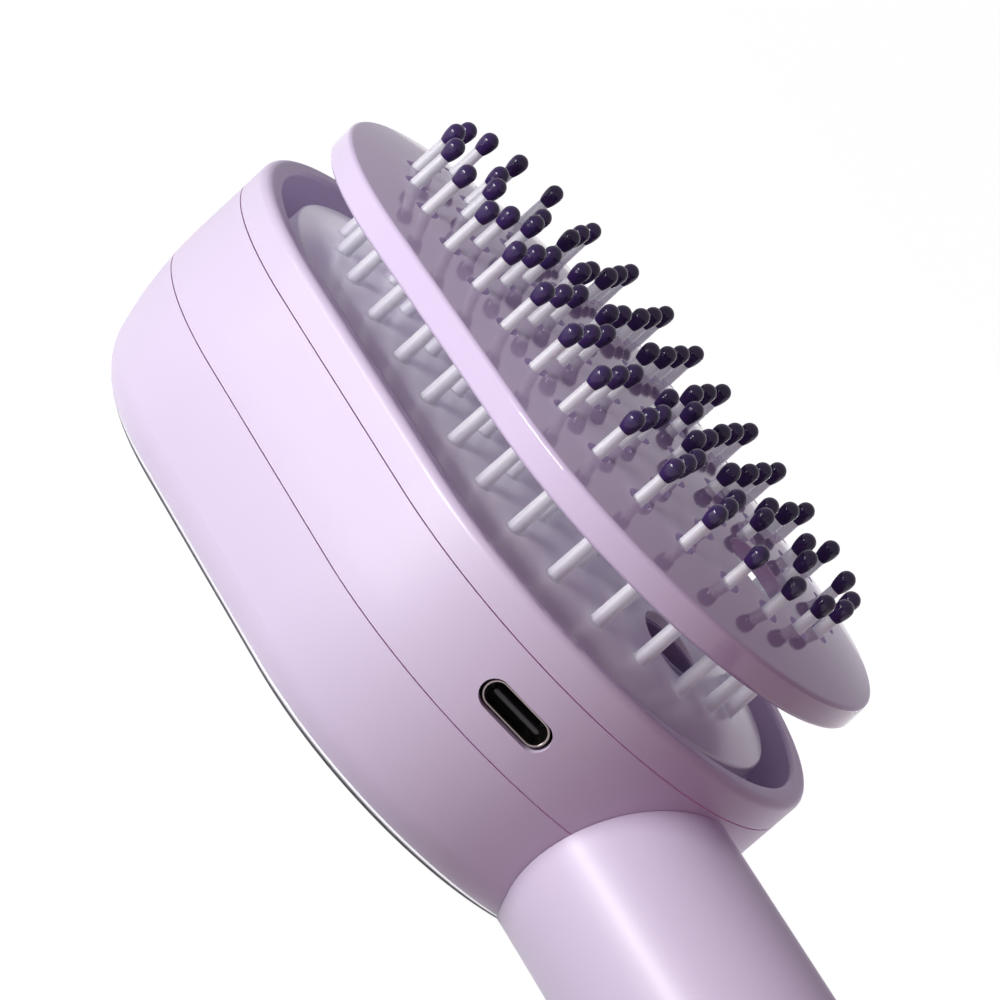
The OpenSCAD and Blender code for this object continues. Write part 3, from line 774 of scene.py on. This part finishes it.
class Barrel:
    """The handle's round skin, or one that lies further out."""

    def __init__(self, r):
        self.r = r

    def place(self, x, y):
        rise = math.sqrt(self.r**2 - y**2)
        return (x, y, HANDLE_Z + rise), Vector((0, y / self.r, rise / self.r))


def crown_height(crown, ball_r, inset, r):
    """A crowned skin's height over its edge at a distance from the spine."""
    return crown - ball_r + math.sqrt((ball_r - inset) ** 2 - r**2)


def corner_point(r):
    """Height of the back's lower corner at a distance from the spine."""
    return CORNER_R - math.sqrt(CORNER_R**2 - max(r - BACK_R, 0) ** 2)


# Where the bristles stand.


def ring_point(r, s):
    """The point at a distance s round a ring, counted from the handle's end."""
    quarter = QUARTER * r
    side = 2 * RING_HALF
    if s < quarter:
        return RING_HALF + r * math.cos(s / r), r * math.sin(s / r)
    if s < quarter + side:
        return RING_HALF - (s - quarter), r
    if s < 3 * quarter + side:
        turn = QUARTER + (s - quarter - side) / r
        return r * math.cos(turn) - RING_HALF, r * math.sin(turn)
    if s < 3 * quarter + 2 * side:
        return s - 3 * quarter - side - RING_HALF, -r
    turn = (s - 4 * quarter - 2 * side) / r
    return RING_HALF + r * math.cos(turn), r * math.sin(turn)


def ring_places(i):
    """The bristles of a ring or of the centre; the second ring stays open at
    both ends."""
    if i == 3:
        return list(CENTRE_PLACES)
    length = 4 * RING_HALF + 2 * math.pi * RING_R[i]
    if i == 1:
        side = RING_N[1] // 2
        spots = [
            half * length / 2 + RING_GAP / 2 + k * (length / 2 - RING_GAP) / (side - 1)
            for half in (0, 1)
            for k in range(side)
        ]
    else:
        spots = [(k + 0.5) * length / RING_N[i] for k in range(RING_N[i])]
    made = [ring_point(RING_R[i], s) for s in spots]
    return [(x - FIELD_SHIFT, y) for x, y in made]


PIN_PLACES = {name: ring_places(i) for i, name in enumerate(RING_NAMES)}
ALL_PINS = [place for places in PIN_PLACES.values() for place in places]


# The cleaning plate and the bristle base.


def crowned_rim(r, crown, ball_r, rounding, depth, low_round, in_r, in_top):
    """Section of a crowned piece's rim, from its top skin outward and down to
    the foot of its inner wall and up to its under skin."""
    across = r - rounding
    up = crown - ball_r + math.sqrt((ball_r - rounding) ** 2 - across**2)
    lean = math.acos(across / (ball_r - rounding))
    small = RIM_INNER_ROUND
    made = arc(across, up, rounding, lean, 0, 6)
    made += arc(r - low_round, low_round - depth, low_round, 0, -QUARTER, 5)
    made += arc(in_r + small, small - depth, small, -QUARTER, -2 * QUARTER, 3)
    made.append((Vector((in_r, in_top - RIM_INNER_H)), Vector((-1, 0))))
    made.append((Vector((in_r, in_top)), Vector((-DIAGONAL, -DIAGONAL))))
    return made


def drill(form, x, y, r, top, under, rounding, count):
    """A hole's rounded edges and wall; returns its loops in the two skins."""
    rows = []
    steps = 3
    for skin, order in ((top, range(steps + 1)), (under, range(steps, -1, -1))):
        turns = [2 * math.pi * k / count for k in range(count)]
        wide = r + rounding
        ring = [skin.place(x + wide * math.cos(t), y + wide * math.sin(t)) for t in turns]
        for step in order:
            angle = QUARTER * step / steps
            wide = r + rounding * (1 - math.sin(angle))
            down = rounding * (1 - math.cos(angle)) * skin.up
            row = []
            for turn, ((_, _, z), normal) in zip(turns, ring):
                c, s = math.cos(turn), math.sin(turn)
                bent = Vector(normal) * math.cos(angle) - Vector((c, s, 0)) * math.sin(angle)
                row.append(form.add((x + wide * c, y + wide * s, z - down), bent))
            rows.append(row)
    form.bands(rows)
    return rows[0], rows[-1]


def grid(step, reach, discs):
    """Even places within a distance of the spine and clear of the discs."""
    gap = MESH_GAP * step
    rows = math.ceil(reach / step / ROW_PITCH)
    columns = math.ceil((reach + SIDE_HALF) / step)
    made = []
    for j in range(-rows, rows + 1):
        for i in range(-columns, columns + 1):
            x, y = (i + 0.5 * (j % 2)) * step, j * step * ROW_PITCH
            if math.hypot(max(abs(x) - SIDE_HALF, 0), y) > reach - gap:
                continue
            if all(math.hypot(x - cx, y - cy) > r + gap for cx, cy, r in discs):
                made.append((x, y))
    return made


def fill(form, loops, discs, places, skin):
    """Triangles between the first loop and the others, which lie round the
    discs, with further points of the skin over the places."""
    flat, owner, edges = [], [], []
    for loop in loops:
        start = len(flat)
        for k, index in enumerate(loop):
            flat.append(Vector(form.points[index][:2]))
            owner.append(index)
            edges.append((start + k, start + (k + 1) % len(loop)))
    for x, y in places:
        flat.append(Vector((x, y)))
        owner.append(form.add(*skin.place(x, y)))
    spots, _, faces, origin, _, _ = geometry.delaunay_2d_cdt(flat, edges, [], 1, MESH_NEAR)
    spots = np.array([tuple(s) for s in spots])
    faces = np.array([f for f in faces if len(f) == 3])
    middles = spots[faces].mean(axis=1)
    kept = np.ones(len(faces), bool)
    for x, y, r in discs:
        kept &= np.hypot(middles[:, 0] - x, middles[:, 1] - y) > r * DISC_SHARE
    for face in faces[kept]:
        form.faces.append(tuple(owner[origin[v][0]] for v in face))


def crowned_piece(name, body, slot, rim, top, under, holes, in_r, rounding, moved, step):
    """A crowned piece with its rim and its holes (x, y, radius, points)."""
    form = Form()
    rows = swept(form, rim, HEAD_PLACES, moved)
    form.bands(rows)
    top_loops, under_loops, discs = [rows[0]], [rows[-1]], []
    for x, y, r, count in holes:
        upper, lower = drill(form, x, y, r, top, under, rounding, count)
        top_loops.append(upper)
        under_loops.append(lower)
        discs.append((x, y, r + rounding))
    reach = rim[0][0][0]
    fill(form, top_loops, discs, grid(step, reach, discs), top)
    fill(form, under_loops, discs, grid(step, in_r, discs), under)
    return form.piece(name, body, slot), form


def make_plate():
    lean = (
        Matrix.Rotation(math.radians(-PLATE_TILT), 3, "Y")
        @ Matrix.Rotation(math.radians(PLATE_ROLL), 3, "X")
    )
    in_r = PLATE_R - BAND_W
    rim = crowned_rim(
        PLATE_R,
        PLATE_CROWN,
        PLATE_BALL_R,
        PLATE_ROUND,
        BAND_H,
        PLATE_ROUND,
        in_r,
        crown_height(PLATE_CROWN, PLATE_BALL_R, PLATE_WEB, in_r),
    )
    holes = [(x, y, HOLE_R, PLATE_HOLE_STEPS) for x, y in ALL_PINS]
    holes.append((OUTLET_X, 0, OUTLET_R, OUTLET_STEPS))
    crowned_piece(
        "cleaning_plate",
        "plate",
        "cleaning_plate",
        rim,
        Dome(PLATE_Z, PLATE_CROWN, PLATE_BALL_R, 0, lean),
        Dome(PLATE_Z, PLATE_CROWN, PLATE_BALL_R, PLATE_WEB, lean, -1),
        holes,
        in_r,
        PLATE_HOLE_ROUND,
        Matrix.Translation((0, 0, PLATE_Z)) @ lean.to_4x4(),
        PLATE_MESH,
    )


def make_base():
    in_r = BASE_R - BASE_T
    rim = crowned_rim(
        BASE_R,
        BASE_CROWN,
        BASE_BALL_R,
        BASE_ROUND,
        BASE_EDGE_Z - TRENCH_Z - SEAL_T,
        BASE_LOW_ROUND,
        in_r,
        crown_height(BASE_CROWN, BASE_BALL_R, BASE_T, in_r),
    )
    holes = [(x, y, PIN_R + FIXED_FIT, BASE_HOLE_STEPS) for x, y in ALL_PINS]
    holes.append((OUTLET_X, 0, SLEEVE_R + FIXED_FIT, OUTLET_STEPS))
    made, form = crowned_piece(
        "bristle_base",
        "body",
        "clear_base",
        rim,
        BASE_TOP,
        Dome(BASE_EDGE_Z, BASE_CROWN, BASE_BALL_R, BASE_T, None, -1),
        holes,
        in_r,
        BASE_HOLE_ROUND,
        Matrix.Translation((0, 0, BASE_EDGE_Z)),
        BASE_MESH,
    )
    # Painted light: the halo mark makes the base glow brighter by the shafts' feet and, as a
    # painted pool of light, toward the end far from the handle.
    spots = np.array(form.points)
    away = np.full(len(spots), np.inf)
    for foot in np.array(ALL_PINS):
        away = np.minimum(away, np.hypot(*(spots[:, :2] - foot).T))
    lit_end = np.clip((LIT_FROM - spots[:, 0]) / LIT_SPAN, 0, 1) * LIT_RISE
    mark_points(made, "halo", np.exp(-((away / HALO_R) ** 2)) + lit_end)


# Bristles and tips.


def shaft(form, x, y):
    """A bristle: foot under the base, fillet on it and tapering shaft."""
    spine = math.hypot(max(abs(x) - SIDE_HALF, 0), y)
    under = (
        BASE_EDGE_Z
        + crown_height(BASE_CROWN, BASE_BALL_R, BASE_T, spine)
        - FOOT_R * spine / BASE_BALL_R
        - FIXED_FIT
    )
    surface = BASE_TOP.place(x, y)[0][2]
    top = TIP_Z - TIP_L / 2

    def radius(z):
        return SHAFT_R + (SHAFT_TOP_R - SHAFT_R) * (z - surface) / (top - surface)

    edge = radius(surface + WAIST_RISE) + FILLET_R
    rows = [
        (FOOT_R, under - FOOT_T, DIAGONAL, -DIAGONAL, False),
        (FOOT_R, under, DIAGONAL, DIAGONAL, False),
        (PIN_R, under, 0.9, 0.4, False),
        (PIN_R, SHAFT_DIP, 1, 0, True),
        (PIN_R, 0.0, DIAGONAL, -DIAGONAL, True),
        (edge, 0.0, DIAGONAL, -DIAGONAL, True),
    ]
    rows += turned_rows(arc(edge, FILLET_LIFT + FILLET_R, -FILLET_R, QUARTER, 0, 5), True)
    for z in [surface + rise for rise in SHAFT_RISES] + [top]:
        rows.append((radius(z), z, 1, 0, False))
    lathe(form, x, y, rows, SHAFT_STEPS, BASE_TOP)


def tip(form, x, y):
    """The egg-shaped tip: a round end on a long curve down to the shaft."""
    low = TIP_Z - TIP_L / 2
    widest = low + TIP_L - TIP_R
    start = math.asin((TIP_L - TIP_R) / TIP_SIDE_R) * TIP_SIDE_SHARE
    last = QUARTER * TIP_END_STEPS / TIP_END_SPAN
    rows = [
        (TIP_NECK_R - TIP_FLAT_IN, low, 0, -1, False),
        (TIP_NECK_R - TIP_BEVEL_IN, low + TIP_BEVEL_H, 0.8, -0.6, False),
    ]
    rows += turned_rows(arc(TIP_R - TIP_SIDE_R, widest, TIP_SIDE_R, -start, 0, 6))
    rows += turned_rows(arc(0, widest, TIP_R, 0, last, TIP_END_STEPS)[1:])
    lathe(form, x, y, rows, TIP_STEPS)


def foot_share(point):
    """How far a shaft's point still shows the base that it grows from: there it
    takes the foot colour and less of the shaft's painted glow.
    """
    x, y, z = point
    rise = z - BASE_TOP.place(x, y)[0][2]
    return max(0.0, min(1.0, FOOT_SHARE - rise / FOOT_FADE))


def make_bristles():
    for ring, places in PIN_PLACES.items():
        shafts, tips = Form(), Form()
        for x, y in places:
            shaft(shafts, x, y)
            tip(tips, x, y)
        made = shafts.piece(f"{ring}_ring_pins", "body", "white_bristle")
        mark_points(made, "foot", [foot_share(p) for p in shafts.points])
        tips.piece(f"{ring}_ring_tips", "body", "purple_tip")


# Trim, back panel and outlet sleeve.


def make_trim():
    """The chrome band round the back's corner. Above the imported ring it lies
    as a thin plating on the shell, up to the line that the photo shows."""
    low_round, lip_round, inner_round = TRIM_ROUNDS
    low = math.acos((TRIM_R - BACK_R) / CORNER_R)
    high = math.asin((CORNER_R - TRIM_SEEN) / CORNER_R)
    corners = [(TRIM_R, corner_point(TRIM_R), low_round)]
    for k in range(1, TRIM_STEPS + 1):
        angle = low + (high - low) * k / TRIM_STEPS
        is_proud = CORNER_R * (1 - math.sin(angle)) > TRIM_PROUD_FROM
        r = CORNER_R + TRIM_PROUD if is_proud else CORNER_R
        rounding = lip_round if k == TRIM_STEPS else 0
        corners.append((BACK_R + r * math.cos(angle), CORNER_R - r * math.sin(angle), rounding))
    root = CORNER_R - TRIM_ROOT
    corners += [
        (BACK_R + root * math.cos(high), CORNER_R - root * math.sin(high), 0),
        (TRIM_IN_R, TRIM_TOP, 0),
        (TRIM_R, TRIM_TOP, inner_round),
    ]
    form = Form()
    form.bands(swept(form, outline(corners), HEAD_PLACES), closed=True)
    form.piece("trim_ring", "body", "chrome_trim")


def make_panel():
    edge = TRIM_R - FIXED_FIT
    low_round, top_round = PANEL_ROUNDS
    corners = []
    for k in range(PANEL_STEPS + 1):
        r = BACK_R + (edge - BACK_R) * k / PANEL_STEPS
        corners.append((r, corner_point(r), low_round if k == PANEL_STEPS else 0))
    corners += [(edge, PANEL_T, top_round), (BACK_R, PANEL_T, 0)]
    form = Form()
    rows = swept(form, open_outline(corners), HEAD_PLACES)
    form.bands(rows)
    form.cap(rows)
    form.piece("back_panel", "body", "back_panel")


def make_sleeve():
    top = BASE_TOP.place(OUTLET_X, 0)[0][2] - SLEEVE_UNDER
    floor = TRENCH_Z + SLEEVE_OVER
    inner = SLEEVE_R - SLEEVE_T
    places = [(SLEEVE_R, floor), (SLEEVE_R, top), (inner, top), (inner, floor + SLEEVE_T)]
    corners = [(*place, rounding) for place, rounding in zip(places, SLEEVE_ROUNDS)]
    section = open_outline(
        [(SLEEVE_CENTRE_R, floor, 0)] + corners + [(SLEEVE_CENTRE_R, floor + SLEEVE_T, 0)]
    )
    form = Form()
    lathe(form, OUTLET_X, 0, turned_rows(section), OUTLET_STEPS)
    form.piece("outlet_sleeve", "body", "sleeve")


# The charging port.

PORT = (
    Matrix.Translation((SIDE_HALF, 0, PORT_Z))
    @ Matrix.Rotation(math.radians(-PORT_ANGLE), 4, "Z")
    @ Matrix(((0, 0, 1, 0), (1, 0, 0, 0), (0, 1, 0, 0), (0, 0, 0, 1)))
)


def make_port():
    """The socket's steel shell with a rolled lip."""
    back = USB_FRONT - USB_DEEP
    r = USB_H / 2
    section = outline(
        [
            (r, back, USB_BACK_ROUND),
            (r, USB_FRONT, USB_LIP_ROUND),
            (r - USB_WALL, USB_FRONT, USB_LIP_ROUND),
            (r - USB_WALL, back, USB_BACK_ROUND),
        ]
    )
    form = Form()
    form.bands(swept(form, section, stations((USB_L - USB_H) / 2, 24, 4), PORT), closed=True)
    form.piece("usb_shell", "body", "steel")


def make_tongue():
    """The socket's tongue: a flat bar with rounded edges and a round nose."""
    half = TONGUE_T / 2
    section = open_outline(
        [
            (TONGUE_CENTRE, TONGUE_FROM, 0),
            (half, TONGUE_FROM, TONGUE_BACK_ROUND),
            (half, TONGUE_TO, TONGUE_NOSE_ROUND),
            (TONGUE_CENTRE, TONGUE_TO, 0),
        ]
    )
    form = Form()
    rows = swept(form, section, stations(TONGUE_L / 2 - half, 12, 4), PORT)
    form.bands(rows)
    form.cap(rows)
    form.piece("usb_tongue", "body", "black_plastic")


# The power button and its bezel.


def make_bezel():
    """The saddle-shaped bezel, whose inner edge is rolled."""
    inner = BUTTON_R + RUN_FIT
    edge, roll = BEZEL_EDGE, BEZEL_ROLL
    section = arc(BEZEL_R - edge, -edge, edge, 0, QUARTER, 4)
    section += arc(inner + roll, -roll, roll, QUARTER, 2 * QUARTER, 6)
    rows = turned_rows(section, True) + [
        (inner, BEZEL_LOW, -DIAGONAL, -DIAGONAL, False),
        (BEZEL_R, BEZEL_LOW, DIAGONAL, -DIAGONAL, False),
    ]
    form = Form()
    lathe(form, BUTTON_X, 0, rows, BEZEL_STEPS, Barrel(HANDLE_R), closed=True)
    form.piece("button_bezel", "body", NODE_SLOTS["button_bezel"])


def make_button():
    """The power button with its flange and a soft edge."""
    wide = BUTTON_R + FLANGE_W
    edge = BUTTON_EDGE
    rows = [
        (BUTTON_CENTRE_R, BUTTON_FLOOR, 0, -1, False),
        (wide, BUTTON_FLOOR, DIAGONAL, -DIAGONAL, False),
        (wide, BUTTON_FLOOR + FLANGE_T, DIAGONAL, DIAGONAL, False),
        (BUTTON_R, BUTTON_FLOOR + FLANGE_T, 1, 0, False),
    ]
    rows += turned_rows(arc(BUTTON_R - edge, -edge, edge, 0, QUARTER, 8), True)
    rows += [(BUTTON_R * share, 0.0, 0, 1, True) for share in BUTTON_SHARES]
    form = Form()
    lathe(form, BUTTON_X, 0, rows, BUTTON_STEPS, Barrel(HANDLE_R + BUTTON_PROUD))
    form.piece("power_button", "button", NODE_SLOTS["power_button"])


make_camera()
make_world()
make_floor()
for lamp in LAMPS:
    make_lamp(*lamp)

dress_nodes()
make_plate()
make_base()
make_bristles()
make_trim()
make_panel()
make_sleeve()
make_port()
make_tongue()
make_bezel()
make_button()

bpy.context.scene.view_settings.view_transform = "Standard"
